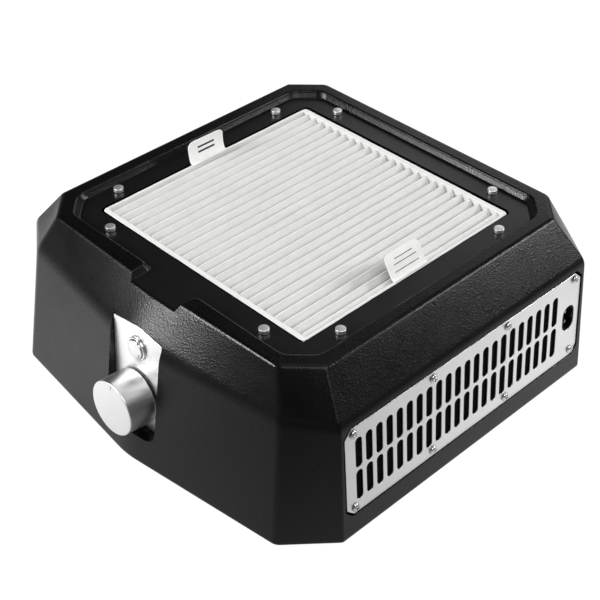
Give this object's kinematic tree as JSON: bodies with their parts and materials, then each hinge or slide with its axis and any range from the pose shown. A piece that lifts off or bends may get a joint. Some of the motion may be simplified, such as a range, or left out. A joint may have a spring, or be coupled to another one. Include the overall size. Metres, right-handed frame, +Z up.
{
  "type": "desktop nail dust collector",
  "caption": "Squat black housing with a square pleated filter set in its top, a knob and push button on a sloped front plate, and a slotted metal exhaust plate with a mains inlet on the right.",
  "frame": {"origin": "middle of the bounding box, on the table plane under the feet", "axes": "+Z up, -Y towards the user (knob and button), +X towards the exhaust plate"},
  "size_m": [0.2936, 0.303, 0.127],
  "materials": {
    "shell_plastic": "satin black, fine leather grain",
    "well_plastic": "matt black",
    "foot_rubber": "matt",
    "screw_steel": "zinc plated",
    "stud_chrome": "polished",
    "gasket_foam": "closed-cell foam",
    "filter_white": "white nonwoven",
    "guard_wire": "black powder coat",
    "fan_plastic": "moulded, matt",
    "rotor_metal": "die cast",
    "stator_metal": "laminations and windings",
    "panel_metal": "satin",
    "knob_metal": "satin turned",
    "button_chrome": "polished",
    "pot_body": "plain",
    "board_green": "solder mask",
    "sink_metal": "extruded",
    "lead_black": "cable jacket",
    "inlet_plastic": "moulded",
    "mesh_black": "open black mesh",
    "pin_brass": "plain"
  },
  "bodies": {
    "chassis": {"housing_shell": "shell_plastic", "base_plate": "well_plastic", "rubber_foot_1": "foot_rubber", "rubber_foot_2": "foot_rubber", "rubber_foot_3": "foot_rubber", "rubber_foot_4": "foot_rubber", "base_screw_1": "screw_steel", "base_screw_2": "screw_steel", "base_screw_3": "screw_steel", "base_screw_4": "screw_steel", "filter_well": "well_plastic", "deck_stud_1": "stud_chrome", "deck_stud_2": "stud_chrome", "deck_stud_3": "stud_chrome", "deck_stud_4": "stud_chrome", "deck_stud_5": "stud_chrome", "deck_stud_6": "stud_chrome", "deck_stud_7": "stud_chrome", "deck_stud_8": "stud_chrome", "filter_gasket": "gasket_foam", "finger_guard": "guard_wire", "fan_inlet_ring": "fan_plastic", "motor_stator": "stator_metal", "well_post_1": "screw_steel", "well_post_2": "screw_steel", "well_post_3": "screw_steel", "well_post_4": "screw_steel", "control_plate": "panel_metal", "knob_potentiometer": "pot_body", "potentiometer_nut": "screw_steel", "button_housing": "button_chrome", "button_nut": "screw_steel", "board_carrier": "well_plastic", "control_board": "board_green", "triac_heat_sink": "sink_metal", "mains_lead": "lead_black", "motor_lead": "lead_black", "control_lead": "lead_black", "vent_plate": "panel_metal", "vent_screw_1": "screw_steel", "vent_screw_2": "screw_steel", "vent_screw_3": "screw_steel", "vent_screw_4": "screw_steel", "vent_screw_5": "screw_steel", "vent_screw_6": "screw_steel", "vent_screw_7": "screw_steel", "vent_screw_8": "screw_steel", "vent_mesh": "mesh_black", "mains_inlet": "inlet_plastic", "inlet_pin_1": "pin_brass", "inlet_pin_2": "pin_brass"},
    "filter_cassette": {"filter_frame": "filter_white", "filter_media": "filter_white", "pull_tab_left": "filter_white", "pull_tab_right": "filter_white"},
    "fan": {"fan_impeller": "fan_plastic", "fan_rotor_cup": "rotor_metal"},
    "knob": {"speed_knob": "knob_metal", "knob_shaft": "screw_steel"},
    "button": {"push_button": "knob_metal"}
  },
  "joints": [
    {"name": "filter_lift", "type": "slide", "parent": "chassis", "child": "filter_cassette", "axis": [0, 0, 1], "range_m": [0, 0.09]},
    {"name": "fan_spin", "type": "hinge", "parent": "chassis", "child": "fan", "pos_m": [0, 0.0131, 0.04], "axis": [0, 0, 1], "continuous": true},
    {"name": "knob_turn", "type": "hinge", "parent": "chassis", "child": "knob", "pos_m": [0, -0.129, 0.0441], "axis": [0, -0.9976, 0.0698], "range_deg": [-150, 150]},
    {"name": "button_press", "type": "slide", "parent": "chassis", "child": "button", "axis": [0, 0.9976, -0.0698], "range_m": [0, 0.002], "stiffness_N_per_m": 500, "springref_m": -0.001}
  ]
}
